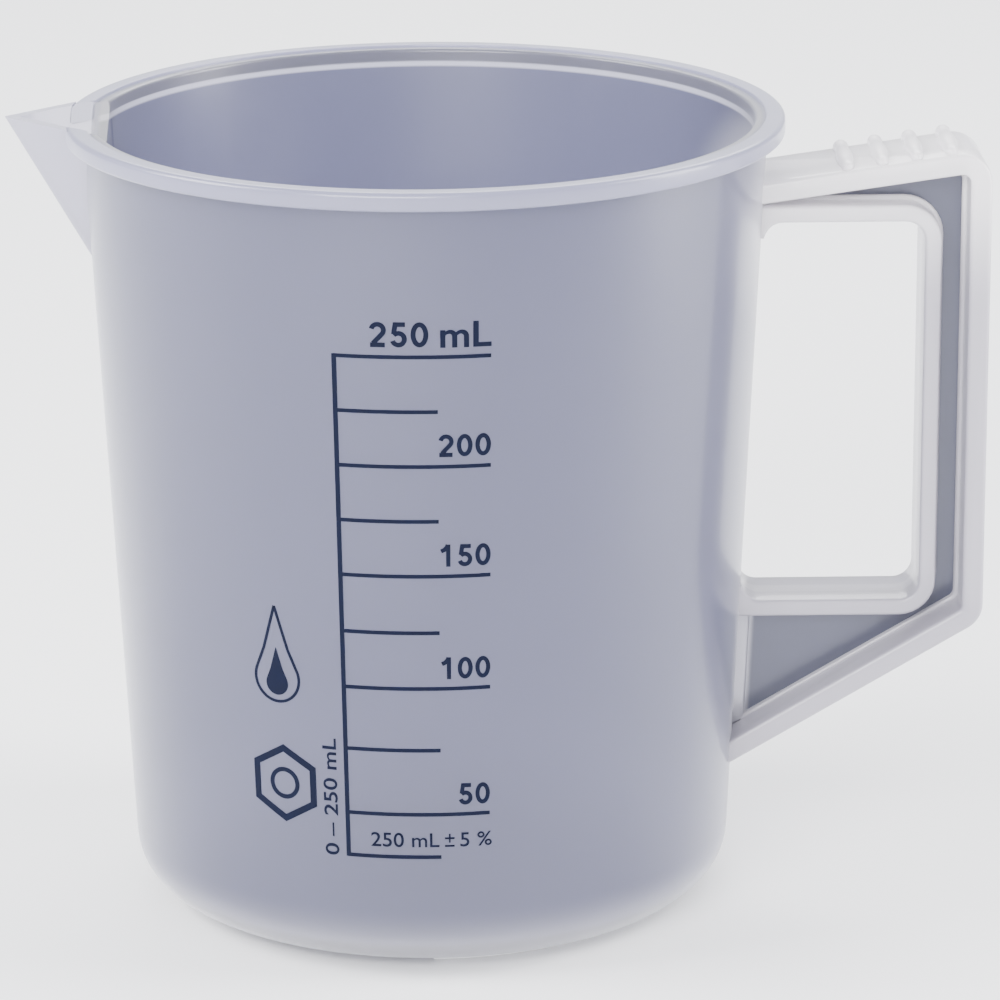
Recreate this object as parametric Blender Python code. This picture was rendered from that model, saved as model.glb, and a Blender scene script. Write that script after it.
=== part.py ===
"""A 250 mL moulded plastic measuring beaker with a pouring spout and a framed handle.

The beaker stands along +Z with its handle towards +X and its spout towards -X. Each piece is
modelled about the vessel's axis, with heights counted from the base's underside. An empty then
carries them all, so that the origin is midway between spout and handle on the standing surface.
"""
import math

import bmesh
import bpy
from mathutils import Vector

MM = 0.001

# Vessel
BODY_HEIGHT = 89.1 * MM          # underside of the base to the top of the rim
MOUTH_RADIUS = 38.0 * MM         # outside of the wall, level with the rim's underside
BASE_RADIUS = 33.8 * MM          # outside of the wall, continued down to the underside
WALL = 1.4 * MM
FLOOR = 1.6 * MM
CORNER_RADIUS = 6.0 * MM         # outside of the rounded edge between wall and base
RIM_REACH = 2.0 * MM             # how far the rim stands out from the wall
RIM_THICKNESS = 2.0 * MM
RIM_STEP = 0.3 * MM              # the wall's own edge stops this far under the rim's top

# Pouring spout
SPOUT_STANDOUT = 8.8 * MM        # mouth's wall to the tip
SPOUT_DROP = 16.6 * MM           # top of the rim to where the keel meets the wall
SPOUT_HALF_ANGLE = math.radians(45)
SPOUT_WALL = 1.2 * MM

# Handle
HANDLE_STANDOUT = 24.7 * MM      # mouth's wall to the handle's outer face
HANDLE_TOP_DROP = 7.0 * MM       # top of the rim to the handle's top where it leaves the wall
HANDLE_RISE = 3.5 * MM           # how much the top climbs on its way out
ELBOW_HEIGHT = 31.0 * MM         # where the outer face turns into the lower arm
HANDLE_FOOT_HEIGHT = 14.3 * MM   # where the lower arm's underside reaches the wall
FLANGE_THICKNESS = 2.4 * MM
FLANGE_DEPTH = 12.5 * MM
UPPER_CORNER_RADIUS = 3.4 * MM
ELBOW_RADIUS = 3.2 * MM
WEB_THICKNESS = 1.6 * MM
WEB_STRIP = 2.9 * MM             # web between the two flanges along the grip
WEB_ROOT = 0.7 * MM              # the same under the top, where the handle leaves the wall
WEB_LEAST_HEIGHT = 0.6 * MM      # the web's upper tongue starts where it is this tall

# Finger opening
FRAME_LIFT = 0.2 * MM            # elbow to the frame's underside
OPENING_RADIUS = 2.2 * MM
FRAME_THICKNESS = 1.9 * MM
FRAME_DEPTH = 9.2 * MM

# Thumb ridges on top of the handle
RIDGE_COUNT = 4
RIDGE_PITCH = 3.87 * MM
RIDGE_INSET = 4.5 * MM           # outer face to the outermost ridge's centre line
RIDGE_RADIUS = 0.85 * MM
RIDGE_LENGTH = 12.0 * MM

# Feet
FOOT_COUNT = 3
FOOT_HEIGHT = 1.1 * MM           # underside of the base down to the standing surface
FOOT_INSET = 0.6 * MM            # edge of the base disc to the feet
FOOT_WIDTH = 2.5 * MM
FOOT_ARC = math.radians(60)

# Printed scale, on the front of the wall between handle and spout
SCALE_LEFT = -10.1 * MM          # x of the upright line
SCALE_LONG = 16.8 * MM           # length of a numbered mark
SCALE_SHORT = 11.1 * MM          # length of a mark in between
SCALE_LINE = 0.5 * MM
INK = 0.15 * MM
NUMBERED_MARKS = [height * MM for height in (70.9, 58.75, 46.4, 33.55, 18.9)]
OTHER_MARKS = [height * MM for height in (64.85, 52.6, 39.95, 26.4, 13.9)]

GAP = 0.3 * MM                   # between neighbouring solids
MARGIN = 2.0 * MM                # how far a cutter runs past what it cuts
TURN_STEPS = 96
FOOT_STEPS = 16
CORNER_STEPS = 5
ROUND_STEPS = 6
FILLET_SWEEP = math.radians(60)  # a fillet against the wall stops before its feather edge
SMOOTH_ANGLE = math.radians(35)

RIM_UNDERSIDE = BODY_HEIGHT - RIM_THICKNESS
WALL_SLOPE = (MOUTH_RADIUS - BASE_RADIUS) / RIM_UNDERSIDE
LEAN = math.atan(WALL_SLOPE)
SPOUT_REACH = MOUTH_RADIUS + SPOUT_STANDOUT
HANDLE_REACH = MOUTH_RADIUS + HANDLE_STANDOUT
HANDLE_TOP = BODY_HEIGHT - HANDLE_TOP_DROP
OPENING_TOP = HANDLE_TOP - FLANGE_THICKNESS - WEB_ROOT - FRAME_THICKNESS
OPENING_BOTTOM = ELBOW_HEIGHT + FRAME_LIFT + FRAME_THICKNESS
OPENING_REACH = HANDLE_REACH - FLANGE_THICKNESS - WEB_STRIP - FRAME_THICKNESS


def wall_radius(height):
    """Outer radius of the wall at a height above the underside."""
    return BASE_RADIUS + WALL_SLOPE * height


# ---------------------------------------------------------------- shared modelling helpers

def clear_scene():
    for old in list(bpy.data.objects):
        bpy.data.objects.remove(old, do_unlink=True)


def make_material(name, colour, roughness):
    material = bpy.data.materials.new(name)
    material.use_nodes = True
    shader = material.node_tree.nodes["Principled BSDF"]
    shader.inputs["Base Color"].default_value = (*colour, 1.0)
    shader.inputs["Roughness"].default_value = roughness
    shader.inputs["Metallic"].default_value = 0.0
    return material


def finish_object(name, bm, material, smooth=False):
    bmesh.ops.remove_doubles(bm, verts=bm.verts, dist=0.001 * MM)
    bmesh.ops.recalc_face_normals(bm, faces=bm.faces)
    mesh = bpy.data.meshes.new(name)
    bm.to_mesh(mesh)
    bm.free()
    if smooth:
        mesh.shade_smooth()
        mesh.set_sharp_from_angle(angle=SMOOTH_ANGLE)
    if material:
        mesh.materials.append(material)
    obj = bpy.data.objects.new(name, mesh)
    bpy.context.collection.objects.link(obj)
    return obj


def add_face(bm, points):
    return bm.faces.new([bm.verts.new(point) for point in points])


def turned(name, profile, material, steps=TURN_STEPS):
    """A full turn of a closed (radius, height) outline about the Z axis."""
    bm = bmesh.new()
    face = add_face(bm, [(radius, 0.0, height) for radius, height in profile])
    edges = list(face.edges)
    bmesh.ops.delete(bm, geom=[face], context="FACES_ONLY")
    bmesh.ops.spin(bm, geom=edges, cent=(0, 0, 0), axis=(0, 0, 1), angle=2 * math.pi,
                   steps=steps, use_merge=True, use_duplicate=False)
    return finish_object(name, bm, material, smooth=True)


def extruded_side(name, outline, depth, material):
    """An (x, z) outline made into a plate of the given depth, centred on y = 0."""
    bm = bmesh.new()
    face = add_face(bm, [(x, -depth / 2, z) for x, z in outline])
    grown = bmesh.ops.extrude_face_region(bm, geom=[face])
    top = [item for item in grown["geom"] if isinstance(item, bmesh.types.BMVert)]
    bmesh.ops.translate(bm, verts=top, vec=(0, depth, 0))
    return finish_object(name, bm, material, smooth=True)


def cut(obj, *cutters):
    for cutter in cutters:
        modifier = obj.modifiers.new("cut by " + cutter.name, "BOOLEAN")
        modifier.operation = "DIFFERENCE"
        modifier.solver = "EXACT"
        modifier.object = cutter


def hide_cutter(obj):
    obj.hide_render = True
    obj.display_type = "WIRE"
    return obj


def arc(centre, radius, start, sweep, steps):
    return [(centre[0] + radius * math.cos(start + sweep * i / steps),
             centre[1] + radius * math.sin(start + sweep * i / steps))
            for i in range(steps + 1)]


def offset_path(corners, distance):
    """Corners of an open path moved to its right-hand side, with straight runs kept parallel."""
    points = [Vector(corner) for corner in corners]
    normals = []
    for here, there in zip(points, points[1:]):
        run = (there - here).normalized()
        normals.append(Vector((run.y, -run.x)))
    moved = [points[0] + normals[0] * distance]
    for corner, before, after in zip(points[1:], normals, normals[1:]):
        mitre = (before + after).normalized()
        moved.append(corner + mitre * (distance / mitre.dot(before)))
    moved.append(points[-1] + normals[-1] * distance)
    return [tuple(point) for point in moved]


def round_corners(corners, radii, steps=ROUND_STEPS):
    """An open path whose inner corners are replaced by arcs of the given radii."""
    path = [corners[0]]
    for before, corner, after, radius in zip(corners, corners[1:], corners[2:], radii):
        here = Vector(corner)
        back = (Vector(before) - here).normalized()
        forth = (Vector(after) - here).normalized()
        half = math.acos(max(-1.0, min(1.0, back.dot(forth)))) / 2
        centre = here + (back + forth).normalized() * (radius / math.sin(half))
        first = here + back * (radius / math.tan(half)) - centre
        last = here + forth * (radius / math.tan(half)) - centre
        start = math.atan2(first.y, first.x)
        sweep = (math.atan2(last.y, last.x) - start + math.pi) % (2 * math.pi) - math.pi
        path += arc(centre, radius, start, sweep, steps)
    path.append(corners[-1])
    return path


# ---------------------------------------------------------------- vessel

def corner_centre():
    """Centre of the rounded bottom edge, shared by its outer and inner arcs."""
    radius = wall_radius(CORNER_RADIUS) - CORNER_RADIUS / math.cos(LEAN)
    return radius, CORNER_RADIUS


def make_vessel_wall(material, channel):
    centre = corner_centre()
    sweep = math.pi / 2 - LEAN
    outer_arc = arc(centre, CORNER_RADIUS, -math.pi / 2, sweep, CORNER_STEPS)
    inner_arc = arc(centre, CORNER_RADIUS - WALL, -math.pi / 2, sweep, CORNER_STEPS)
    lip = BODY_HEIGHT - RIM_STEP
    inset = WALL / math.cos(LEAN)
    outline = outer_arc + [(wall_radius(lip), lip), (wall_radius(lip) - inset, lip)]
    outline += reversed(inner_arc)
    wall = turned("vessel_wall", outline, material)
    cut(wall, channel)
    return wall


def make_base_disc(material):
    """The flat bottom, inside the ring where the rounded edge ends."""
    radius = corner_centre()[0] - GAP
    bm = bmesh.new()
    bmesh.ops.create_cone(bm, cap_ends=True, segments=TURN_STEPS, radius1=radius,
                          radius2=radius, depth=FLOOR)
    bmesh.ops.translate(bm, verts=bm.verts, vec=(0, 0, FLOOR / 2))
    return finish_object("base_disc", bm, material, smooth=True)


def make_rim(material, channel):
    inner = wall_radius(BODY_HEIGHT) + GAP
    outer = MOUTH_RADIUS + RIM_REACH
    outline = [(inner, RIM_UNDERSIDE), (outer, RIM_UNDERSIDE), (outer, BODY_HEIGHT),
               (inner, BODY_HEIGHT)]
    rim = turned("rim_flange", outline, material)
    cut(rim, channel)
    return rim


def make_body_envelope():
    """The space the wall and the rim take up, one gap larger all round."""
    rim_low = RIM_UNDERSIDE - GAP
    rim_out = MOUTH_RADIUS + RIM_REACH + GAP
    top = BODY_HEIGHT + MARGIN
    outline = [(0.0, -MARGIN), (wall_radius(-MARGIN) + GAP, -MARGIN),
               (wall_radius(rim_low) + GAP, rim_low), (rim_out, rim_low), (rim_out, top),
               (0.0, top)]
    return hide_cutter(turned("body_envelope", outline, None))


# ---------------------------------------------------------------- spout

def wedge(name, apex_shift, low, high, material):
    """A leaning V: its apex runs down the keel, shifted inwards by apex_shift."""
    foot = BODY_HEIGHT - SPOUT_DROP
    lean = (SPOUT_REACH - wall_radius(foot)) / SPOUT_DROP
    width = math.tan(SPOUT_HALF_ANGLE)
    bm = bmesh.new()
    rings = []
    for height in (low, high):
        apex = -SPOUT_REACH + apex_shift + lean * (BODY_HEIGHT - height)
        reach = -BASE_RADIUS / 2 - apex
        rings.append([bm.verts.new((apex, 0, height)),
                      bm.verts.new((apex + reach, -width * reach, height)),
                      bm.verts.new((apex + reach, width * reach, height))])
    bottom, top = rings
    bm.faces.new(bottom)
    bm.faces.new(reversed(top))
    for i in range(3):
        j = (i + 1) % 3
        bm.faces.new((bottom[i], top[i], top[j], bottom[j]))
    return finish_object(name, bm, material)


def make_channel():
    """The space inside the spout, open at the top and into the vessel."""
    apex_shift = SPOUT_WALL / math.sin(SPOUT_HALF_ANGLE)
    low = BODY_HEIGHT - SPOUT_DROP - MARGIN
    return hide_cutter(wedge("spout_channel", apex_shift, low, BODY_HEIGHT + MARGIN, None))


def make_spout(material, channel, envelope):
    low = BODY_HEIGHT - SPOUT_DROP - MARGIN
    spout = wedge("pouring_spout", 0.0, low, BODY_HEIGHT, material)
    cut(spout, channel, envelope)
    return spout


# ---------------------------------------------------------------- handle

def handle_corners():
    """Outer corners of the handle in its own plane, from the upper root to the lower one."""
    start = (wall_radius(HANDLE_TOP), HANDLE_TOP)
    upper = (HANDLE_REACH, HANDLE_TOP + HANDLE_RISE)
    elbow = (HANDLE_REACH, ELBOW_HEIGHT)
    end = (wall_radius(HANDLE_FOOT_HEIGHT), HANDLE_FOOT_HEIGHT)
    return [run_on(upper, start), upper, elbow, run_on(elbow, end)]


def run_on(start, end):
    """The end of a run, carried on into the vessel so that the envelope trims it."""
    run = Vector(end) - Vector(start)
    return tuple(Vector(end) + run.normalized() * FLANGE_DEPTH / 2)


def make_outer_flange(material, envelope):
    outer = handle_corners()
    inner = offset_path(outer, FLANGE_THICKNESS)
    inner_radii = (UPPER_CORNER_RADIUS - FLANGE_THICKNESS, ELBOW_RADIUS - FLANGE_THICKNESS)
    outline = round_corners(outer, (UPPER_CORNER_RADIUS, ELBOW_RADIUS))
    outline += reversed(round_corners(inner, inner_radii))
    flange = extruded_side("handle_outer_flange", outline, FLANGE_DEPTH, material)
    cut(flange, envelope)
    return flange


def frame_corners(spread):
    """Corners of the opening, grown by spread, from the upper root to the lower one."""
    inside = BASE_RADIUS - WALL
    reach = OPENING_REACH + spread
    top = OPENING_TOP + spread
    bottom = OPENING_BOTTOM - spread
    return [(inside, top), (reach, top), (reach, bottom), (inside, bottom)]


def root_fillet(height, side):
    """Fillet points between the opening's edge at a height and the wall beside it."""
    centre = (wall_radius(height) + GAP + OPENING_RADIUS, height - side * OPENING_RADIUS)
    return arc(centre, OPENING_RADIUS, side * math.pi / 2, side * FILLET_SWEEP, ROUND_STEPS)


def make_opening_frame(material, envelope):
    outer_radius = OPENING_RADIUS + FRAME_THICKNESS
    outline = round_corners(frame_corners(FRAME_THICKNESS), (outer_radius, outer_radius))
    low_fillet = root_fillet(OPENING_BOTTOM, -1)
    high_fillet = root_fillet(OPENING_TOP, 1)
    inside = BASE_RADIUS - WALL
    outline.append((inside, low_fillet[-1][1]))
    outline += reversed(low_fillet)
    opening = round_corners(frame_corners(0.0), (OPENING_RADIUS, OPENING_RADIUS))
    outline += reversed(opening[1:-1])
    outline += high_fillet
    outline.append((inside, high_fillet[-1][1]))
    frame = extruded_side("finger_opening_frame", outline, FRAME_DEPTH, material)
    cut(frame, envelope)
    return frame


def make_web(material, envelope):
    """The thin plate that fills the handle between its two flanges."""
    outer = offset_path(handle_corners(), FLANGE_THICKNESS + GAP)
    inner = frame_corners(FRAME_THICKNESS + GAP)
    tongue = inner[0][1] + WEB_LEAST_HEIGHT
    root, corner = outer[0], outer[1]
    share = (tongue - root[1]) / (corner[1] - root[1])
    start = root[0] + share * (corner[0] - root[0])
    outer[0] = (start, tongue)
    inner[0] = (start, inner[0][1])
    round_out = max(UPPER_CORNER_RADIUS - FLANGE_THICKNESS - GAP, GAP)
    round_elbow = max(ELBOW_RADIUS - FLANGE_THICKNESS - GAP, GAP)
    round_in = OPENING_RADIUS + FRAME_THICKNESS + GAP
    outline = round_corners(outer, (round_out, round_elbow))
    outline += reversed(round_corners(inner, (round_in, round_in)))
    web = extruded_side("handle_web", outline, WEB_THICKNESS, material)
    cut(web, envelope)
    return web


def make_ridges(material):
    """Crowned bars lying across the top of the handle, square to its slope."""
    root, corner = (Vector(point) for point in handle_corners()[:2])
    slope = (corner - root).normalized()
    up = Vector((-slope.y, slope.x))
    outermost = corner - slope * RIDGE_INSET + up * GAP
    for number in range(RIDGE_COUNT):
        bm = bmesh.new()
        bmesh.ops.create_uvsphere(bm, u_segments=16, v_segments=12, radius=1.0)
        bmesh.ops.scale(bm, verts=bm.verts, vec=(RIDGE_RADIUS, RIDGE_LENGTH / 2, RIDGE_RADIUS))
        everything = list(bm.verts) + list(bm.edges) + list(bm.faces)
        bmesh.ops.bisect_plane(bm, geom=everything, plane_co=(0, 0, 0), plane_no=(0, 0, 1),
                               clear_inner=True)
        bmesh.ops.holes_fill(bm, edges=[edge for edge in bm.edges if edge.is_boundary])
        ridge = finish_object("thumb_ridge_%d" % (RIDGE_COUNT - number), bm, material, smooth=True)
        place = outermost - slope * RIDGE_PITCH * number
        ridge.location = (place.x, 0, place.y)
        ridge.rotation_euler = (0, -math.atan2(slope.y, slope.x), 0)


# ---------------------------------------------------------------- print

def comb_outline():
    """The upright line on the left with its marks to the right, top mark first."""
    marks = [(height, SCALE_LONG) for height in NUMBERED_MARKS]
    marks += [(height, SCALE_SHORT) for height in OTHER_MARKS]
    marks.sort(reverse=True)
    half = SCALE_LINE / 2
    right = SCALE_LEFT + SCALE_LINE
    outline = [(SCALE_LEFT, marks[-1][0] - half), (SCALE_LEFT, marks[0][0] + half)]
    for height, length in marks:
        outline += [(right, height + half), (SCALE_LEFT + length, height + half),
                    (SCALE_LEFT + length, height - half), (right, height - half)]
    del outline[2]
    del outline[-1]
    return outline


def make_printed_scale(material):
    """The upright line and its marks, one comb of ink that follows the wall."""
    outline = comb_outline()
    depth = MOUTH_RADIUS + MARGIN
    comb = hide_cutter(extruded_side("scale_comb", outline, depth, None))
    comb.location.y = -depth / 2
    heights = (outline[0][1] - MARGIN, outline[1][1] + MARGIN)
    inner = [(wall_radius(height) + GAP, height) for height in heights]
    outer = [(radius + INK, height) for radius, height in reversed(inner)]
    scale = turned("printed_scale", inner + outer, material, steps=2 * TURN_STEPS)
    modifier = scale.modifiers.new("keep the comb", "BOOLEAN")
    modifier.operation = "INTERSECT"
    modifier.solver = "EXACT"
    modifier.object = comb


# ---------------------------------------------------------------- feet

def make_feet(material):
    """Short arcs that the beaker stands on, the first one under the spout."""
    outer = corner_centre()[0] - GAP - FOOT_INSET
    inner = outer - FOOT_WIDTH
    for number in range(FOOT_COUNT):
        middle = math.pi + 2 * math.pi * number / FOOT_COUNT
        bm = bmesh.new()
        section = add_face(bm, [(inner, 0, -GAP), (outer, 0, -GAP),
                                (outer, 0, -FOOT_HEIGHT), (inner, 0, -FOOT_HEIGHT)])
        bmesh.ops.spin(bm, geom=[section], cent=(0, 0, 0), axis=(0, 0, 1), angle=FOOT_ARC,
                       steps=FOOT_STEPS, use_merge=False, use_duplicate=False)
        foot = finish_object("foot_arc_%d" % (number + 1), bm, material, smooth=True)
        foot.rotation_euler = (0, 0, middle - FOOT_ARC / 2)


def stand_on_origin():
    pieces = list(bpy.data.objects)
    axis = bpy.data.objects.new("beaker_axis", None)
    axis.location = ((SPOUT_REACH - HANDLE_REACH) / 2, 0, FOOT_HEIGHT)
    bpy.context.collection.objects.link(axis)
    for piece in pieces:
        piece.parent = axis


def build():
    clear_scene()
    wall_plastic = make_material("clear_wall_plastic", (0.72, 0.75, 0.82), 0.35)
    rim_plastic = make_material("thick_rim_plastic", (0.84, 0.85, 0.90), 0.30)
    handle_plastic = make_material("handle_plastic", (0.80, 0.80, 0.84), 0.35)
    envelope = make_body_envelope()
    channel = make_channel()
    make_vessel_wall(wall_plastic, channel)
    make_base_disc(wall_plastic)
    make_rim(rim_plastic, channel)
    make_spout(rim_plastic, channel, envelope)
    make_outer_flange(handle_plastic, envelope)
    make_opening_frame(handle_plastic, envelope)
    make_web(handle_plastic, envelope)
    make_ridges(handle_plastic)
    make_feet(wall_plastic)
    make_printed_scale(make_material("navy_ink", (0.02, 0.05, 0.16), 0.5))
    stand_on_origin()


build()
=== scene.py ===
import math

import bmesh
import bpy
from mathutils import Matrix, Vector


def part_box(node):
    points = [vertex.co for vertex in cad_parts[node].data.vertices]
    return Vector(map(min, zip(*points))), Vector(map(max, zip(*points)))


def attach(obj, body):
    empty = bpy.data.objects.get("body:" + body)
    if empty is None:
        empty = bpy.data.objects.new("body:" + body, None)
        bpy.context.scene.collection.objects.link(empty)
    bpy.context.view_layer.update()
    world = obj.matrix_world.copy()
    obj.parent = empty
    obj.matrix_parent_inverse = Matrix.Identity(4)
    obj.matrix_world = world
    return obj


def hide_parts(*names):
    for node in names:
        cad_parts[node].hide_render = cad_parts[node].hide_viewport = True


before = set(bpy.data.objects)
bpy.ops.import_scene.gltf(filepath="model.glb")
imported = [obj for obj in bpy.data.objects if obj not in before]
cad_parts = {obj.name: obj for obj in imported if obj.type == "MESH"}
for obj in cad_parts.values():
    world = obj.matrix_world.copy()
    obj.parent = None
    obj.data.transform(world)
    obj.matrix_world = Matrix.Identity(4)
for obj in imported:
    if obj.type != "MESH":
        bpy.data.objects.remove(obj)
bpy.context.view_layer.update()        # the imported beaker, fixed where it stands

mm = 0.001

# where things are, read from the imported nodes
baseLow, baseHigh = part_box("base_disc")
rimLow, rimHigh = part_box("rim_flange")
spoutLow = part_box("pouring_spout")[0]
handleLow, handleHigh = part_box("handle_outer_flange")
openingLow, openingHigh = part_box("finger_opening_frame")
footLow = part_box("foot_arc_1")[0]
axisX = (baseLow.x + baseHigh.x) / 2
underside = baseLow.z
rimTop = rimHigh.z
print("frame read: axis at x =", round(axisX / mm, 2), "mm, rim at", round(rimTop / mm, 2), "mm")

vessel = {
    "mouthRadius": 38.0 * mm,      # outside of the wall under the rim
    "baseRadius": 33.8 * mm,       # outside of the wall, carried down to the underside
    "wall": 1.4 * mm,
    "floor": 1.6 * mm,
    "cornerRadius": 6.0 * mm,
    "lipDrop": 0.3 * mm,           # the wall's own lip sits this far under the rim's top
    "lipRound": 0.35 * mm,
    "turnSteps": 240,
    "cornerSteps": 14,
    "lipSteps": 5,
}
floorTop = underside + vessel["floor"]
wallSlope = (vessel["mouthRadius"] - vessel["baseRadius"]) / (rimLow.z - underside)
wallLean = math.atan(wallSlope)


def wallRadius(z):
    # outside of the wall at a height
    return vessel["baseRadius"] + wallSlope * (z - underside)


# shared mesh tools

sharpAngle = math.radians(32)
straightHalf = math.radians(89.5)  # a corner flatter than this isn't rounded
weld = {
    "close": 0.0005 * mm,
    "carved": 0.002 * mm,          # looser, for the slivers that carving leaves
    "sliver": 0.001 * mm,
}


def arcPoints(centre, radius, start, sweep, steps):
    return [(centre[0] + radius * math.cos(start + sweep * i / steps),
             centre[1] + radius * math.sin(start + sweep * i / steps)) for i in range(steps + 1)]


def roundPath(corners, radii, steps=8, closed=False):
    # each corner becomes an arc of its own radius; an open path keeps its ends
    count = len(corners)
    path = []
    for i, here in enumerate(corners):
        if not closed and i in (0, count - 1):
            path.append(tuple(here))
            continue
        here = Vector(here)
        radius = radii[i]
        back = (Vector(corners[i - 1]) - here).normalized()
        forth = (Vector(corners[(i + 1) % count]) - here).normalized()
        half = math.acos(max(-1.0, min(1.0, back.dot(forth)))) / 2
        if radius <= 0 or half > straightHalf:
            path.append(tuple(here))
            continue
        centre = here + (back + forth).normalized() * (radius / math.sin(half))
        first = here + back * (radius / math.tan(half)) - centre
        last = here + forth * (radius / math.tan(half)) - centre
        start = math.atan2(first.y, first.x)
        sweep = (math.atan2(last.y, last.x) - start + math.pi) % (2 * math.pi) - math.pi
        path += arcPoints(centre, radius, start, sweep, steps)
    return path


def offsetPath(corners, distance):
    # the same open path, moved sideways to its right
    points = [Vector(corner) for corner in corners]
    normals = []
    for here, there in zip(points, points[1:]):
        run = (there - here).normalized()
        normals.append(Vector((run.y, -run.x)))
    moved = [points[0] + normals[0] * distance]
    for corner, before, after in zip(points[1:], normals, normals[1:]):
        mitre = (before + after).normalized()
        moved.append(corner + mitre * (distance / mitre.dot(before)))
    moved.append(points[-1] + normals[-1] * distance)
    return [tuple(point) for point in moved]


def makeObject(name, bm, smooth=True, angle=sharpAngle):
    mesh = bpy.data.meshes.new(name)
    bm.to_mesh(mesh)
    bm.free()
    if smooth:
        mesh.shade_smooth()
        mesh.set_sharp_from_angle(angle=angle)
    piece = bpy.data.objects.new(name, mesh)
    bpy.context.collection.objects.link(piece)
    return piece


def closeMesh(bm):
    bmesh.ops.remove_doubles(bm, verts=bm.verts, dist=weld["close"])
    bmesh.ops.recalc_face_normals(bm, faces=bm.faces)


def spinProfile(name, profile, steps):
    bm = bmesh.new()
    ring = [bm.verts.new((axisX + r, 0, z)) for r, z in profile]
    edges = [bm.edges.new(pair) for pair in zip(ring, ring[1:] + ring[:1])]
    bmesh.ops.spin(bm, geom=edges, cent=(axisX, 0, 0), axis=(0, 0, 1), angle=2 * math.pi,
                   steps=steps, use_merge=True, use_duplicate=False)
    closeMesh(bm)
    return makeObject(name, bm)


def platePiece(name, outline, depth, edgeRound=0.0, segments=3):
    # an outline in x and z, as deep as given, half of it each side of the middle plane
    bm = bmesh.new()
    face = bm.faces.new([bm.verts.new((px, -depth / 2, pz)) for px, pz in outline])
    grown = bmesh.ops.extrude_face_region(bm, geom=[face], use_keep_orig=True)
    far = [item for item in grown["geom"] if isinstance(item, bmesh.types.BMVert)]
    bmesh.ops.translate(bm, verts=far, vec=(0, depth, 0))
    bmesh.ops.recalc_face_normals(bm, faces=bm.faces)
    if edgeRound > 0:
        rims = [e for e in bm.edges if abs(e.verts[0].co.y - e.verts[1].co.y) < depth / 2]
        bmesh.ops.bevel(bm, geom=rims, offset=edgeRound, affect="EDGES", segments=segments,
                        profile=0.5, material=-1)
    closeMesh(bm)
    return makeObject(name, bm)


def bake(piece):
    # the modifiers' result becomes the piece's own mesh
    graph = bpy.context.evaluated_depsgraph_get()
    made = bpy.data.meshes.new_from_object(piece.evaluated_get(graph))
    piece.modifiers.clear()
    old = piece.data
    piece.data = made
    bpy.data.meshes.remove(old)


def carve(piece, cutter, how="DIFFERENCE"):
    modifier = piece.modifiers.new("carve", "BOOLEAN")
    modifier.operation = how
    modifier.solver = "EXACT"
    modifier.object = cutter
    bake(piece)
    bm = bmesh.new()
    bm.from_mesh(piece.data)
    bmesh.ops.remove_doubles(bm, verts=bm.verts, dist=weld["carved"])
    bmesh.ops.dissolve_degenerate(bm, dist=weld["sliver"], edges=bm.edges)
    bmesh.ops.recalc_face_normals(bm, faces=bm.faces)
    bm.to_mesh(piece.data)
    bm.free()
    if not piece.data.polygons:
        print("carving left nothing of", piece.name)
    piece.data.shade_smooth()
    piece.data.set_sharp_from_angle(angle=sharpAngle)


def drop(piece):
    bpy.data.objects.remove(piece, do_unlink=True)


# materials

mixFirst, mixSecond, mixResult = 6, 7, 2       # the colour sockets of a Mix node


class Flow:
    # one output socket, so that values are worked out as plain sums
    def __init__(self, tree, socket):
        self.tree = tree
        self.socket = socket

    @classmethod
    def node(cls, tree, kind, settings=None, inputs=None, out=0):
        # any node: its settings first, then what its sockets hold or are linked to
        node = tree.nodes.new(kind)
        for key, value in (settings or {}).items():
            setattr(node, key, value)
        for key, value in (inputs or {}).items():
            if isinstance(value, Flow):
                tree.links.new(value.socket, node.inputs[key])
            else:
                node.inputs[key].default_value = value
        return cls(tree, node.outputs[out])

    def work(self, how, left, right):
        return Flow.node(self.tree, "ShaderNodeMath", {"operation": how}, {0: left, 1: right})

    def __add__(self, other):
        return self.work("ADD", self, other)

    __radd__ = __add__

    def __mul__(self, other):
        return self.work("MULTIPLY", self, other)

    __rmul__ = __mul__

    def __sub__(self, other):
        return self.work("SUBTRACT", self, other)

    def __rsub__(self, other):
        return self.work("SUBTRACT", other, self)

    def __truediv__(self, other):
        return self.work("DIVIDE", self, other)

    def __rtruediv__(self, other):
        return self.work("DIVIDE", other, self)

    def __pow__(self, other):
        return self.work("POWER", self, other)

    def __rpow__(self, other):
        return self.work("POWER", other, self)


def plainShader(name, fixed):
    material = bpy.data.materials.new(name)
    material.use_nodes = True
    tree = material.node_tree
    shader = tree.nodes["Principled BSDF"]
    for key, value in fixed.items():
        shader.inputs[key].default_value = value
    return material, tree, shader


def linkShader(tree, shader, flows):
    for key, flow in flows.items():
        tree.links.new(flow.socket, shader.inputs[key])


def fade(tree, value, start, end):
    # 1 at start, easing to 0 at end
    return Flow.node(tree, "ShaderNodeMapRange", {"interpolation_type": "SMOOTHSTEP"},
                     {"Value": value, "From Min": start, "From Max": end,
                      "To Min": 1.0, "To Max": 0.0})


def blend(tree, factor, low, high):
    low, high = [tone if isinstance(tone, Flow) else (*tone, 1) for tone in (low, high)]
    return Flow.node(tree, "ShaderNodeMix", {"data_type": "RGBA"},
                     {0: factor, mixFirst: low, mixSecond: high}, out=mixResult)


def noise(tree, place, size, detail, rough):
    return Flow.node(tree, "ShaderNodeTexNoise", {},
                     {"Vector": place, "Scale": size, "Detail": detail, "Roughness": rough})


def axes(tree, vector):
    return [Flow.node(tree, "ShaderNodeSeparateXYZ", {}, {0: vector}, out=i) for i in range(3)]


def across(first, second):
    return (first ** 2.0 + second ** 2.0) ** 0.5


def gap(value, place):
    return ((value - place) ** 2.0) ** 0.5


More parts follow.
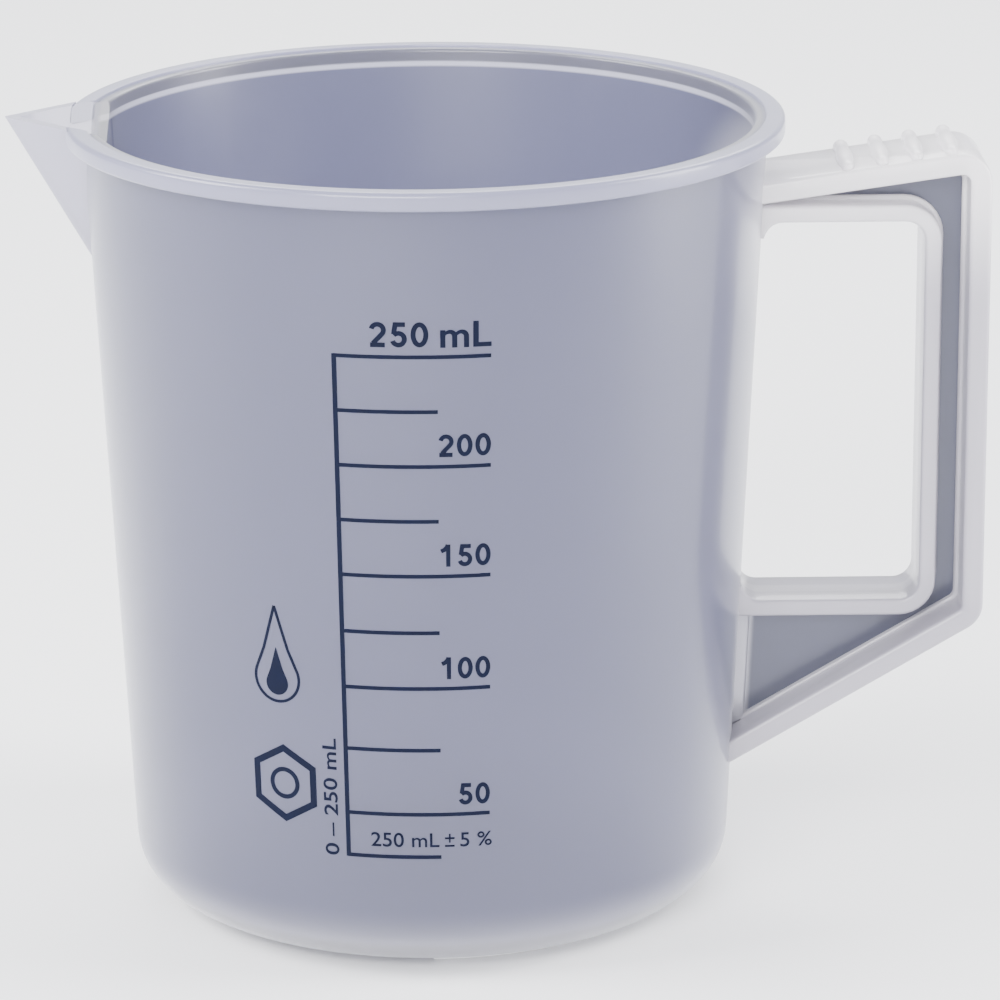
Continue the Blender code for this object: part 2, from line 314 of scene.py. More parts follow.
plastic = {
    "coatIor": 1.5,
    "cloud": (42.0, 3.0, 0.55),    # size, detail and roughness of the melt's clouding
    "speck": (260.0, 2.0, 0.5),    # and of the fine texture in its skin
    "speckShare": 0.4,             # of the skin's relief, the rest is clouding
    "relief": 0.02 * mm,
}


def plasticMaterial(name, look, zones=None):
    # natural polypropylene: milky, faintly clouded by the flow of the melt, with a moulded skin
    material, tree, shader = plainShader(name, {
        "IOR": look["ior"],
        "Transmission Weight": look["clear"],
        "Coat Weight": look["coat"],
        "Coat Roughness": look["coatRoughness"],
        "Coat IOR": plastic["coatIor"],
        "Specular IOR Level": look["specular"],
        "Sheen Weight": look["sheen"],
        "Sheen Roughness": look["sheenRoughness"],
        "Sheen Tint": (*look["sheenTint"], 1),
    })
    place = Flow.node(tree, "ShaderNodeTexCoord", out="Object")
    centred = Flow.node(tree, "ShaderNodeMapping", {}, {0: place, "Location": (-axisX, 0, 0)})
    cloud = noise(tree, centred, *plastic["cloud"])
    speck = noise(tree, centred, *plastic["speck"])
    tone = blend(tree, cloud, look["shade"], look["tint"])
    if zones:
        tone = zones(tree, centred, tone, look)
    rough = look["roughness"] + (cloud - 0.5) * look["roughnessSpread"]
    relief = speck * plastic["speckShare"] + cloud * (1 - plastic["speckShare"])
    skin = Flow.node(tree, "ShaderNodeBump", {}, {"Strength": look["skin"],
                                                  "Distance": plastic["relief"],
                                                  "Height": relief})
    linkShader(tree, shader, {"Base Color": tone, "Roughness": rough, "Normal": skin})
    return material


def inkMaterial(name, look):
    material, tree, shader = plainShader(name, {"Specular IOR Level": look["specular"]})
    place = Flow.node(tree, "ShaderNodeTexCoord", out="Object")
    patch = noise(tree, place, *look["patch"])
    linkShader(tree, shader, {"Base Color": blend(tree, patch, look["deep"], look["thin"]),
                              "Roughness": look["roughness"] + patch * look["roughnessSpread"]})
    return material


wallLook = {
    "tint": (0.232, 0.238, 0.392),
    "shade": (0.196, 0.202, 0.346),
    # the "thick" white carries painted highlights, reflection and light, partly thicker plastic
    "thick": (0.76, 0.75, 0.82),
    # the darker inside tone is painted shade on the wall's inside face
    "inside": (0.082, 0.084, 0.138),
    "clear": 0.78,
    "ior": 1.49,
    "roughness": 0.29,
    "roughnessSpread": 0.02,
    "coat": 0.3,
    "coatRoughness": 0.06,
    "specular": 0.5,
    "skin": 0.05,
    "sheen": 0.25,
    "sheenRoughness": 0.35,
    "sheenTint": (0.92, 0.93, 1.0),
}
rimLook = dict(wallLook, tint=(0.34, 0.34, 0.49), shade=(0.30, 0.30, 0.445), clear=0.45,
               roughness=0.28)
spoutLook = dict(rimLook, tint=(0.44, 0.43, 0.55), shade=(0.39, 0.38, 0.50), clear=0.40)
# its "thick" white is painted light on the handle's upper part and beside the web
handleLook = dict(wallLook, tint=(0.50, 0.475, 0.54), shade=(0.455, 0.435, 0.50), clear=0.35,
                  thick=(0.97, 0.94, 0.97), sheen=0.15, roughness=0.28)
# the web's dark tone is painted shade
webLook = dict(wallLook, tint=(0.082, 0.086, 0.135), shade=(0.072, 0.076, 0.12), clear=0.50,
               roughness=0.29, sheen=0.0, thick=(0.52, 0.51, 0.58))
# painted light: the feet are made white so that, standing in shade, they read as lit
footLook = dict(handleLook, tint=(1.0, 1.0, 1.0), shade=(0.95, 0.95, 0.98), clear=0.1)
inkLook = {
    "deep": (0.0003, 0.0016, 0.010),
    "thin": (0.0006, 0.003, 0.018),
    "specular": 0.12,
    "patch": (700.0, 3.0, 0.6),
    "roughness": 0.5,
    "roughnessSpread": 0.2,
}

# where the wall is painted whiter, mostly painted highlights, reflection and light, partly thicker
# plastic: each "White" is how far it goes there
wallZone = {
    "inside": (0.4 * mm, 0.9 * mm),         # depth in the wall where the darker inside tone, a painted shade, comes in
    "ring": (0.3 * mm, 0.2 * mm),           # below and above the underside of the rim's ring
    "ringWhite": 0.35,
    "paintedHighlightLine": (0.15 * mm, 0.45 * mm),         # a painted highlight line level with that underside
    "stepWhite": 0.9,
    "corner": 6.0 * mm,                     # up from the floor: a painted highlight of the floor's corner, partly thicker plastic
    "cornerWhite": 0.62,
    "footHalf": 1.25 * mm,
    "foot": (0.9 * mm, 1.5 * mm),           # off the middle line of the feet, painted light: the feet lit, seen through the floor
    "footRise": (0.1 * mm, 0.5 * mm),
    "footEnds": (-0.1, 0.15),
    "footWhite": 0.4,
    "handleSide": (20 * mm, 32 * mm),
    "rootCore": 0.3,
    "rootWhite": 0.85,
    "roots": (                              # height, reach across and reach along the wall of each painted reflection of the handle, partly thicker plastic at its roots
        (handleHigh.z - 8 * mm, 20 * mm, 13 * mm),
        (openingLow.z + 1 * mm, 8 * mm, 8 * mm),
        (handleLow.z + 4 * mm, 9 * mm, 8 * mm),
    ),
}
footMiddle = axisX - footLow.x - wallZone["footHalf"]


def wallZones(tree, centred, tone, look):
    x, y, z = axes(tree, centred)
    reach = across(x, y)
    depth = vessel["baseRadius"] + (z - underside) * wallSlope - reach
    # painted shade: the inside face of the wall takes the darker inside tone
    paintedShadeInside = 1 - fade(tree, depth, *wallZone["inside"])
    tone = blend(tree, paintedShadeInside, tone, look["inside"])
    below, above = wallZone["ring"]
    behindRing = 1 - fade(tree, z, rimLow.z - below, rimLow.z + above)
    # painted highlight: a light line level with the rim ring's underside
    paintedHighlightLine = fade(tree, gap(z, rimLow.z), *wallZone["paintedHighlightLine"])
    # painted highlight of the floor's corner, partly thicker plastic there
    corner = fade(tree, z, floorTop, floorTop + wallZone["corner"])
    low, high = wallZone["footRise"]
    side = x / reach
    thirds = side * 3.0 - side * side * side * 4.0         # three times round, as the feet lie
    # painted light: the feet, lit, seen through the floor as light arcs
    paintedFeetLight = (fade(tree, gap(reach, footMiddle), *wallZone["foot"])
            * (1 - fade(tree, thirds, *wallZone["footEnds"]))
            * fade(tree, z, floorTop + low, floorTop + high))
    white = (corner * wallZone["cornerWhite"] + paintedFeetLight * wallZone["footWhite"]
             + (behindRing * wallZone["ringWhite"] + paintedHighlightLine * wallZone["stepWhite"]) * paintedShadeInside)
    onRight = 1 - fade(tree, x, *wallZone["handleSide"])
    # painted reflection of the handle in the wall beside its roots, partly thicker plastic there
    for height, aside, along in wallZone["roots"]:
        far = across(y * (1 / aside), (z - height) * (1 / along))
        white = white + fade(tree, far, wallZone["rootCore"], 1.0) * onRight * wallZone["rootWhite"]
    return blend(tree, white, tone, look["thick"])


handleZone = {
    "paintedLightOverWeb": (0.9 * mm, 1.5 * mm),        # out from the middle plane, where the web runs in: painted light lifting the shade there
    "overWebWhite": 0.25,
    "top": (12 * mm, 2 * mm),               # under the opening's top, under the handle's top: painted light, the upper handle lighter
}
webZone = {"root": (1.1 * mm, 2.0 * mm)}    # out from the wall


def handleZones(tree, centred, tone, look):
    x, y, z = axes(tree, centred)
    # painted light: lighter beside the web, where shade falls
    paintedLightOverWeb = fade(tree, gap(y, 0.0), *handleZone["paintedLightOverWeb"]) * handleZone["overWebWhite"]
    # painted light: the handle's upper part is lighter, as if lit from above
    low, high = handleZone["top"]
    top = 1 - fade(tree, z, openingHigh.z - low, handleHigh.z - high)
    return blend(tree, paintedLightOverWeb + top, tone, look["thick"])


def webZones(tree, centred, tone, look):
    x, y, z = axes(tree, centred)
    stand = across(x, y) - vessel["baseRadius"] - (z - underside) * wallSlope
    return blend(tree, fade(tree, stand, *webZone["root"]), tone, look["thick"])


wallPlastic = plasticMaterial("milky wall plastic", wallLook, wallZones)
rimPlastic = plasticMaterial("thick rim plastic", rimLook)
spoutPlastic = plasticMaterial("spout plastic", spoutLook)
handlePlastic = plasticMaterial("handle flange plastic", handleLook, handleZones)
webPlastic = plasticMaterial("thin web plastic with painted shade", webLook, webZones)
footPlastic = plasticMaterial("foot plastic", footLook)
navyInk = inkMaterial("navy screen ink", inkLook)
print("materials made")


def dress(piece, material, slot, *nodes):
    # its material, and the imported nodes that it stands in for
    piece.data.materials.clear()
    piece.data.materials.append(material)
    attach(piece, "root")
    if nodes:
        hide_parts(*nodes)
    return piece


# spout channel, which opens the wall and the rim

spout = {
    "halfAngle": math.radians(45),
    "drop": 16.6 * mm,             # rim top to where the keel meets the wall
    "wall": 1.2 * mm,
    "keelRound": 0.35 * mm,
    "seat": 0.25 * mm,             # how far it reaches into the wall it grows from
    "seatRing": 0.08 * mm,
    "under": 0.06 * mm,            # its top sits this far under the rim's
    "channelRound": 0.5 * mm,
    "keelSteps": 4,
    "past": 4 * mm,                # how far the channel's cutter runs past what it cuts
    "footPast": 3 * mm,
    "clear": 5 * mm,               # how far the vessel's cutter runs past its ends
    "ringClear": 1 * mm,
}
keelFoot = rimTop - spout["drop"]
keelLean = (axisX - wallRadius(keelFoot) - spoutLow.x) / spout["drop"]


def spoutWedge(name, shift, low, high, edgeRound):
    # three-sided, its keel sloping back as it goes down
    bm = bmesh.new()
    reach = vessel["baseRadius"] / 2
    width = math.tan(spout["halfAngle"])
    levels = []
    for z in (low, high):
        apex = spoutLow.x + shift + keelLean * (rimTop - z)
        back = axisX - reach
        half = width * (back - apex)
        levels.append([bm.verts.new(p) for p in ((apex, 0, z), (back, -half, z), (back, half, z))])
    bm.faces.new(levels[0])
    bm.faces.new(reversed(levels[1]))
    for i in range(3):
        j = (i + 1) % 3
        bm.faces.new((levels[0][i], levels[1][i], levels[1][j], levels[0][j]))
    bmesh.ops.recalc_face_normals(bm, faces=bm.faces)
    keel = [e for e in bm.edges if {levels[0][0], levels[1][0]} == set(e.verts)]
    bmesh.ops.bevel(bm, geom=keel, offset=edgeRound, affect="EDGES", segments=spout["keelSteps"],
                    profile=0.5, material=-1)
    closeMesh(bm)
    return makeObject(name, bm)


channel = spoutWedge("channel cutter", spout["wall"] / math.sin(spout["halfAngle"]),
                     keelFoot - spout["past"], rimTop + spout["past"], spout["channelRound"])

# vessel body: wall, rounded edge and floor in one turn

cornerCentre = (wallRadius(underside + vessel["cornerRadius"])
                - vessel["cornerRadius"] / math.cos(wallLean), underside + vessel["cornerRadius"])
sweep = math.pi / 2 - wallLean
inset = vessel["wall"] / math.cos(wallLean)
lipZ = rimTop - vessel["lipDrop"]
outerSide = arcPoints(cornerCentre, vessel["cornerRadius"], -math.pi / 2, sweep,
                      vessel["cornerSteps"])
innerRadius = cornerCentre[1] - floorTop
innerSide = arcPoints((wallRadius(cornerCentre[1]) - inset - innerRadius / math.cos(wallLean),
                       cornerCentre[1]), innerRadius, -math.pi / 2, sweep, vessel["cornerSteps"])
lip = roundPath([outerSide[-1], (wallRadius(lipZ), lipZ), (wallRadius(lipZ) - inset, lipZ),
                 innerSide[-1]], (0, vessel["lipRound"], vessel["lipRound"], 0),
                vessel["lipSteps"])
profile = [(0.0, underside)] + outerSide + lip[1:-1] + innerSide[::-1] + [(0.0, floorTop)]
vesselBody = spinProfile("vesselBody", profile, vessel["turnSteps"])
carve(vesselBody, channel)
dress(vesselBody, wallPlastic, "wall_plastic", "vessel_wall", "base_disc")
print("vessel body turned:", len(vesselBody.data.polygons), "faces")

# rim ring

rim = {
    "outerRound": 0.55 * mm,
    "lowRound": 0.35 * mm,
    "innerRound": 0.15 * mm,
    "roundSteps": 5,
    "seat": 0.25 * mm,             # how far it reaches into the wall
}
ringIn = wallRadius(rimTop) - rim["seat"]
ringOut = rimHigh.y
rimProfile = roundPath([(ringIn, rimLow.z), (ringOut, rimLow.z),
                        (ringOut, rimTop), (ringIn, rimTop)],
                       (0, rim["lowRound"], rim["outerRound"], rim["innerRound"]),
                       rim["roundSteps"], closed=True)
rimRing = spinProfile("rimRing", rimProfile, vessel["turnSteps"])
carve(rimRing, channel)
dress(rimRing, rimPlastic, "rim_plastic", "rim_flange")
print("rim turned")

# pouring spout

seatIn = wallRadius(underside) - spout["seat"]
envelope = spinProfile("body cutter", [
    (0.0, underside - spout["clear"]), (seatIn, underside - spout["clear"]), (seatIn, underside),
    (wallRadius(rimLow.z) - spout["seat"], rimLow.z),
    (wallRadius(rimTop) - spout["seat"], rimTop + spout["clear"]),
    (0.0, rimTop + spout["clear"])], vessel["turnSteps"])
ringFloor = rimLow.z + spout["seatRing"]
ringSide = ringOut - spout["seatRing"]
ringCore = spinProfile("ring cutter", [
    (ringIn - spout["ringClear"], ringFloor), (ringSide, ringFloor),
    (ringSide, rimTop + spout["ringClear"]),
    (ringIn - spout["ringClear"], rimTop + spout["ringClear"])], vessel["turnSteps"])
pouringSpout = spoutWedge("pouringSpout", 0.0, keelFoot - spout["footPast"],
                          rimTop - spout["under"], spout["keelRound"])
for cutter in (channel, envelope, ringCore):
    carve(pouringSpout, cutter)
drop(ringCore)
dress(pouringSpout, spoutPlastic, "rim_plastic", "pouring_spout")
print("spout cut")

# handle

handle = {
    "flange": 2.4 * mm,
    "rise": 3.5 * mm,
    "elbowHeight": 31.0 * mm,
    "rootHeight": 14.3 * mm,
    "upperRound": 3.4 * mm,
    "elbowRound": 3.2 * mm,
    "edgeRound": 0.45 * mm,
    "frame": 1.9 * mm,
    "openingRound": 2.2 * mm,
    "frameEdgeRound": 0.4 * mm,
    "web": 1.6 * mm,
    "bead": 0.45 * mm,             # small step where the flanges run into the web
    "beadSeat": 0.4 * mm,
    "beadDepth": 2.8 * mm,
    "beadRound": 0.35 * mm,
    "rootStrip": 1.3 * mm,         # light strip where the web meets the wall
    "stripPast": 1 * mm,
    "under": 7.0 * mm,             # from the rim's top to the handle's own, at the wall
    "runPast": 6 * mm,             # how far the bands are drawn into the wall before they are cut
    "framePast": 3 * mm,
    "webSeat": 0.3 * mm,
    "innerRounds": (0, 1.2 * mm, 1.0 * mm, 0),
    "beadRounds": (0, 1.0 * mm, 1.0 * mm, 0),
    "rootTurn": math.radians(80),  # how far round the frame's root fillets go
    "rootSteps": 8,
}
handleTop = rimTop - handle["under"]
handleDepth = handleHigh.y - handleLow.y
frameDepth = openingHigh.y - openingLow.y
outerX = handleHigh.x


def runOn(start, end):
    run = Vector(end) - Vector(start)
    return tuple(Vector(end) + run.normalized() * handle["runPast"])


def handlePath():
    elbowZ = underside + handle["elbowHeight"]
    rootZ = underside + handle["rootHeight"]
    start = (axisX + wallRadius(handleTop), handleTop)
    upper = (outerX, handleTop + handle["rise"])
    elbow = (outerX, elbowZ)
    end = (axisX + wallRadius(rootZ), rootZ)
    return [runOn(upper, start), upper, elbow, runOn(elbow, end)]


outerPath = handlePath()
innerPath = offsetPath(outerPath, handle["flange"])
flangeOutline = roundPath(outerPath, (0, handle["upperRound"], handle["elbowRound"], 0))
flangeOutline += reversed(roundPath(innerPath, (0, handle["upperRound"] - handle["flange"],
                                                handle["elbowRound"] - handle["flange"], 0)))
outerFlange = platePiece("handleOuterFlange", flangeOutline, handleDepth, handle["edgeRound"])
beadOutline = roundPath(offsetPath(outerPath, handle["flange"] - handle["beadSeat"]),
                        handle["innerRounds"])
beadOutline += reversed(roundPath(offsetPath(outerPath, handle["flange"] + handle["bead"]),
                                  handle["beadRounds"]))
bead = platePiece("bead", beadOutline, handle["beadDepth"], handle["beadRound"])
for part in (bead, outerFlange):
    carve(part, envelope)
carve(outerFlange, bead, "UNION")
drop(bead)
dress(outerFlange, handlePlastic, "handle_plastic", "handle_outer_flange")

frameTop = openingHigh.z
frameBottom = openingLow.z
frameRight = openingHigh.x
insideX = axisX + vessel["baseRadius"] - handle["framePast"]
outerRound = handle["openingRound"] + handle["frame"]


def openingRoot(z, side):
    centre = (axisX + wallRadius(z) + handle["openingRound"], z - side * handle["openingRound"])
    return arcPoints(centre, handle["openingRound"], side * math.pi / 2,
                     side * handle["rootTurn"], handle["rootSteps"])


def framePath(spread):
    top = frameTop - handle["frame"] + spread
    bottom = frameBottom + handle["frame"] - spread
    right = frameRight - handle["frame"] + spread
    return [(insideX, top), (right, top), (right, bottom), (insideX, bottom)]


frameOutline = roundPath(framePath(handle["frame"]), (0, outerRound, outerRound, 0))
lowRoot = openingRoot(frameBottom + handle["frame"], -1)
highRoot = openingRoot(frameTop - handle["frame"], 1)
frameOutline.append((insideX, lowRoot[-1][1]))
frameOutline += reversed(lowRoot)
frameOutline += reversed(roundPath(framePath(0.0), (0, handle["openingRound"],
                                                    handle["openingRound"], 0))[1:-1])
frameOutline += highRoot
frameOutline.append((insideX, highRoot[-1][1]))
openingFrame = platePiece("fingerOpeningFrame", frameOutline, frameDepth, handle["frameEdgeRound"])
beadOutline = roundPath(framePath(handle["frame"] + handle["bead"]),
                        (0, outerRound + handle["bead"], outerRound + handle["bead"], 0))
beadOutline += reversed(roundPath(framePath(handle["frame"] - handle["beadSeat"]),
                                  (0, outerRound - handle["beadSeat"],
                                   outerRound - handle["beadSeat"], 0)))
bead = platePiece("bead", beadOutline, handle["beadDepth"], handle["beadRound"])
for part in (bead, openingFrame):
    carve(part, envelope)
carve(openingFrame, bead, "UNION")
drop(bead)
dress(openingFrame, handlePlastic, "handle_plastic", "finger_opening_frame")

webOutline = roundPath(offsetPath(outerPath, handle["flange"] - handle["webSeat"]),
                       handle["innerRounds"])
webRound = outerRound - handle["webSeat"]
webOutline += reversed(roundPath(framePath(handle["frame"] - handle["webSeat"]),
                                 (0, webRound, webRound, 0)))
web = platePiece("handleWeb", webOutline, handle["web"])
stripLow = underside + handle["rootHeight"] - handle["stripPast"]
stripOutline = []
for z, side in ((stripLow, -1), (stripLow, 1), (frameBottom, 1), (frameBottom, -1)):
    aside = handle["rootStrip"] if side > 0 else -handle["stripPast"]
    stripOutline.append((axisX + wallRadius(z) + aside, z))
rootStrip = platePiece("root strip", stripOutline, handle["beadDepth"], handle["beadRound"])
webTrimmer = platePiece("web trimmer", webOutline, handle["beadDepth"] * 2)
carve(web, rootStrip, "UNION")
carve(web, webTrimmer, "INTERSECT")
drop(rootStrip)
drop(webTrimmer)
carve(web, envelope)
dress(web, webPlastic, "handle_plastic", "handle_web")
print("handle built")

# thumb ridges, each a soft drop with a knob at the far end

ridge = {
    # (how far along from the near end, radius), both as parts of the length and of the full radius
    "shape": ((0.00, 0.00), (0.008, 0.26), (0.03, 0.50), (0.065, 0.66), (0.11, 0.74), (0.16, 0.76),
              (0.22, 0.82), (0.32, 0.97), (0.44, 1.05), (0.54, 1.04), (0.63, 0.94), (0.71, 0.82),
              (0.78, 0.78), (0.85, 0.86), (0.90, 0.93), (0.94, 0.86), (0.97, 0.68), (0.99, 0.42),
              (1.00, 0.00)),
    "radius": 0.95 * mm,
    "steps": 32,
    "count": 4,
    "sharp": math.radians(80),
}
for number in range(1, ridge["count"] + 1):
    node = "thumb_ridge_%d" % number
    low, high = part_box(node)
    length = high.y - low.y
    middle = ((low.x + high.x) / 2, 0, high.z - ridge["radius"])
    bm = bmesh.new()
    chain = [bm.verts.new((0, low.y + along * length, part * ridge["radius"]))
             for along, part in ridge["shape"]]
    edges = [bm.edges.new(pair) for pair in zip(chain, chain[1:])]
    bmesh.ops.spin(bm, geom=edges, cent=(0, 0, 0), axis=(0, 1, 0), angle=2 * math.pi,
                   steps=ridge["steps"], use_merge=True, use_duplicate=False)
    bmesh.ops.translate(bm, verts=bm.verts, vec=middle)
    closeMesh(bm)
    thumbRidge = makeObject("thumbRidge%d" % number, bm, angle=ridge["sharp"])
    dress(thumbRidge, handlePlastic, "handle_plastic", node)

# feet

foot = {
    "count": 3,
    "width": 2.5 * mm,
    "sweep": math.radians(60),
    "seat": 0.2 * mm,
    "edge": 0.25 * mm,
    "turnSteps": 40,
    "edgeSteps": 3,
    "level": 0.01 * mm,            # edges within this of the bottom are rounded,
    "sharp": 1.0,                  # where their faces turn by more than this, in radians
}
footOut = axisX - footLow.x
for number in range(foot["count"]):
    middle = math.pi + 2 * math.pi * number / foot["count"]
    bm = bmesh.new()
    profile = [(footOut - foot["width"], underside + foot["seat"]),
               (footOut, underside + foot["seat"]), (footOut, footLow.z),
               (footOut - foot["width"], footLow.z)]
    start = Matrix.Rotation(middle - foot["sweep"] / 2, 3, "Z")
    verts = [bm.verts.new(Vector((axisX, 0, 0)) + start @ Vector((r, 0, z))) for r, z in profile]
    section = bm.faces.new(verts)
    bmesh.ops.spin(bm, geom=[section], cent=(axisX, 0, 0), axis=(0, 0, 1), angle=foot["sweep"],
                   steps=foot["turnSteps"], use_merge=False, use_duplicate=False)
    closeMesh(bm)
    low = [e for e in bm.edges if all(v.co.z < footLow.z + foot["level"] for v in e.verts)
           and e.calc_face_angle(0) > foot["sharp"]]
    bmesh.ops.bevel(bm, geom=low, offset=foot["edge"], affect="EDGES", segments=foot["edgeSteps"],
                    profile=0.5, material=-1)
    footArc = makeObject("footArc%d" % (number + 1), bm)
    dress(footArc, footPlastic, "wall_plastic", "foot_arc_%d" % (number + 1))
print("ridges and feet made")

# printing, drawn flat in u (round the wall) and v (height), then wrapped

scale = {
    "numbered": {250: 70.9, 200: 58.75, 150: 46.4, 100: 33.55, 50: 18.9},   # mm above the base
    "between": (64.85, 52.6, 39.95, 26.4, 13.9),
    "full": 250,                   # the mark that has its unit beside it
    "left": math.radians(-15.75),
    "right": math.radians(10.35),
    "short": math.radians(1.6),
    "line": 0.42 * mm,
    "spine": 0.5 * mm,
    "inside": 0.02 * mm,           # the upright ends this far inside the end marks
    "stand": 1.1 * mm,             # numbers stand this far over their marks
    "topDigit": 2.75 * mm,
    "digit": 2.5 * mm,
    "unit": 3.95 * mm,
    "unitRoom": 6.4 * mm,
    "unitBold": 0.07 * mm,
    "unitStretch": 1.08,
    "ink": 0.05 * mm,
    "sunk": 0.03 * mm,
    "radius": 36.0 * mm,           # the wall's, where the flat art is true to size
    "strip": 0.5 * mm,             # the flat art is split this often so that it bends
    "weld": 0.001 * mm,
    "cutWeld": 0.0001 * mm,
    "textSteps": 5,
}


def flatBar(bm, u0, u1, v0, v1):
    place = Matrix.Translation(((u0 + u1) / 2, (v0 + v1) / 2, 0))
    size = Matrix.Diagonal((u1 - u0, v1 - v0, 1, 1))
    bmesh.ops.create_grid(bm, x_segments=1, y_segments=1, size=0.5, matrix=place @ size)


def flatText(bm, words, size, u, v, align="RIGHT", turn=0.0, weight=0.0, stretch=1.0):
    curve = bpy.data.curves.new("words", "FONT")
    curve.body = words
    curve.size = size
    curve.align_x = align
    curve.offset = weight
    curve.resolution_u = scale["textSteps"]
    holder = bpy.data.objects.new("words", curve)
    bpy.context.collection.objects.link(holder)
    graph = bpy.context.evaluated_depsgraph_get()
    mesh = bpy.data.meshes.new_from_object(holder.evaluated_get(graph))
    mesh.transform(Matrix.Translation((u, v, 0)) @ Matrix.Rotation(turn, 4, "Z")
                   @ Matrix.Diagonal((stretch, 1, 1, 1)))
    bm.from_mesh(mesh)
    bpy.data.meshes.remove(mesh)
    bpy.data.objects.remove(holder, do_unlink=True)
    bpy.data.curves.remove(curve)


def flatStroke(bm, points, width):
    # an even line along the points; a path that ends where it starts is closed
    closed = (Vector(points[0]) - Vector(points[-1])).length < scale["weld"]
    path = [points[-2]] + list(points) + [points[1]] if closed else points
    sides = [offsetPath(path, side * width / 2) for side in (1, -1)]
    if closed:
        sides = [side[1:-1] for side in sides]
    left, right = [[bm.verts.new((u, v, 0)) for u, v in side] for side in sides]
    for i in range(len(left) - 1):
        bm.faces.new((left[i], right[i], right[i + 1], left[i + 1]))


def ellipse(u, v, across, up, start=0.0, turn=360.0, steps=36):
    return [(u + across * math.cos(math.radians(start + turn * i / steps)),
             v + up * math.sin(math.radians(start + turn * i / steps))) for i in range(steps + 1)]


# plain bold numerals, one unit high, each a few even strokes
numeralShape = {"weight": 0.185, "advance": 0.775, "side": 0.06}
numerals = {
    "0": (ellipse(0.39, 0.5, 0.235, 0.405),),
    "1": (((0.455, 0.0), (0.455, 1.0)), ((0.15, 0.70), (0.29, 0.76), (0.40, 0.88), (0.44, 0.99))),
    "2": (ellipse(0.39, 0.675, 0.225, 0.23, 168, -206, 18) + [(0.45, 0.40), (0.22, 0.15)],
          ((0.11, 0.085), (0.66, 0.085))),
    "5": (((0.64, 0.905), (0.275, 0.905), (0.215, 0.52)),
          ellipse(0.385, 0.325, 0.225, 0.235, 138, -300, 24)),
}


def flatNumber(bm, words, height, u, v):
    # right-aligned on u, standing on v
    for place, digit in enumerate(reversed(words)):
        start = u + (numeralShape["side"] - (place + 1) * numeralShape["advance"]) * height
        for points in numerals[digit]:
            flatStroke(bm, [(start + px * height, v + py * height) for px, py in points],
                       numeralShape["weight"] * height)


def wrapPrint(name, bm):
    # flat art becomes a closed skin of ink, bent round the tapered wall
    bmesh.ops.remove_doubles(bm, verts=bm.verts, dist=scale["weld"])
    bm.normal_update()
    low = min(v.co.x for v in bm.verts)
    high = max(v.co.x for v in bm.verts)
    cuts = int((high - low) / scale["strip"])
    for i in range(1, cuts + 1):
        geom = list(bm.verts) + list(bm.edges) + list(bm.faces)
        bmesh.ops.bisect_plane(bm, geom=geom, dist=scale["cutWeld"],
                               plane_co=(low + i * scale["strip"], 0, 0), plane_no=(1, 0, 0))
    bm.normal_update()
    for face in bm.faces:
        if face.normal.z < 0:
            face.normal_flip()
    lift = Vector((0, 0, scale["ink"]))
    flat = list(bm.faces)
    raised = {vert: bm.verts.new(vert.co + lift) for vert in list(bm.verts)}
    for vert in raised:
        vert.co.z -= scale["sunk"]
    for face in flat:
        bm.faces.new([raised[v] for v in face.verts])
        for loop in face.loops:
            if loop.edge.is_boundary:
                near, far = loop.vert, loop.link_loop_next.vert
                bm.faces.new((raised[far], raised[near], near, far))
    bmesh.ops.reverse_faces(bm, faces=flat)
    for vert in bm.verts:
        u, v, out = vert.co
        z = underside + v
        radius = wallRadius(z) + out
        angle = u / scale["radius"] - math.pi / 2
        vert.co = (axisX + radius * math.cos(angle), radius * math.sin(angle), z)
    return makeObject(name, bm, smooth=False)


scaleLeft, scaleRight, scaleShort = [scale[end] * scale["radius"]
                                     for end in ("left", "right", "short")]
scaleTop = scale["numbered"][scale["full"]] * mm + scale["line"] / 2
scaleLow = scale["between"][-1] * mm - scale["line"] / 2
bm = bmesh.new()
flatBar(bm, scaleLeft, scaleLeft + scale["spine"], scaleLow + scale["inside"],
        scaleTop - scale["inside"])
for heights, end in ((scale["numbered"].values(), scaleRight), (scale["between"], scaleShort)):
    for height in heights:
        flatBar(bm, scaleLeft + scale["spine"] / 3, end, height * mm - scale["line"] / 2,
                height * mm + scale["line"] / 2)
scaleLines = wrapPrint("printedScaleLines", bm)
dress(scaleLines, navyInk, "scale_ink", "printed_scale")

bm = bmesh.new()
for volume, height in scale["numbered"].items():
    stand = height * mm + scale["stand"]
    if volume == scale["full"]:
        flatText(bm, "mL", scale["unit"], scaleRight, stand, weight=scale["unitBold"],
                 stretch=scale["unitStretch"])
        flatNumber(bm, str(volume), scale["topDigit"], scaleRight - scale["unitRoom"], stand)
    else:
        flatNumber(bm, str(volume), scale["digit"], scaleRight, stand)
numbers = wrapPrint("printedNumbers", bm)
dress(numbers, navyInk, "scale_ink")

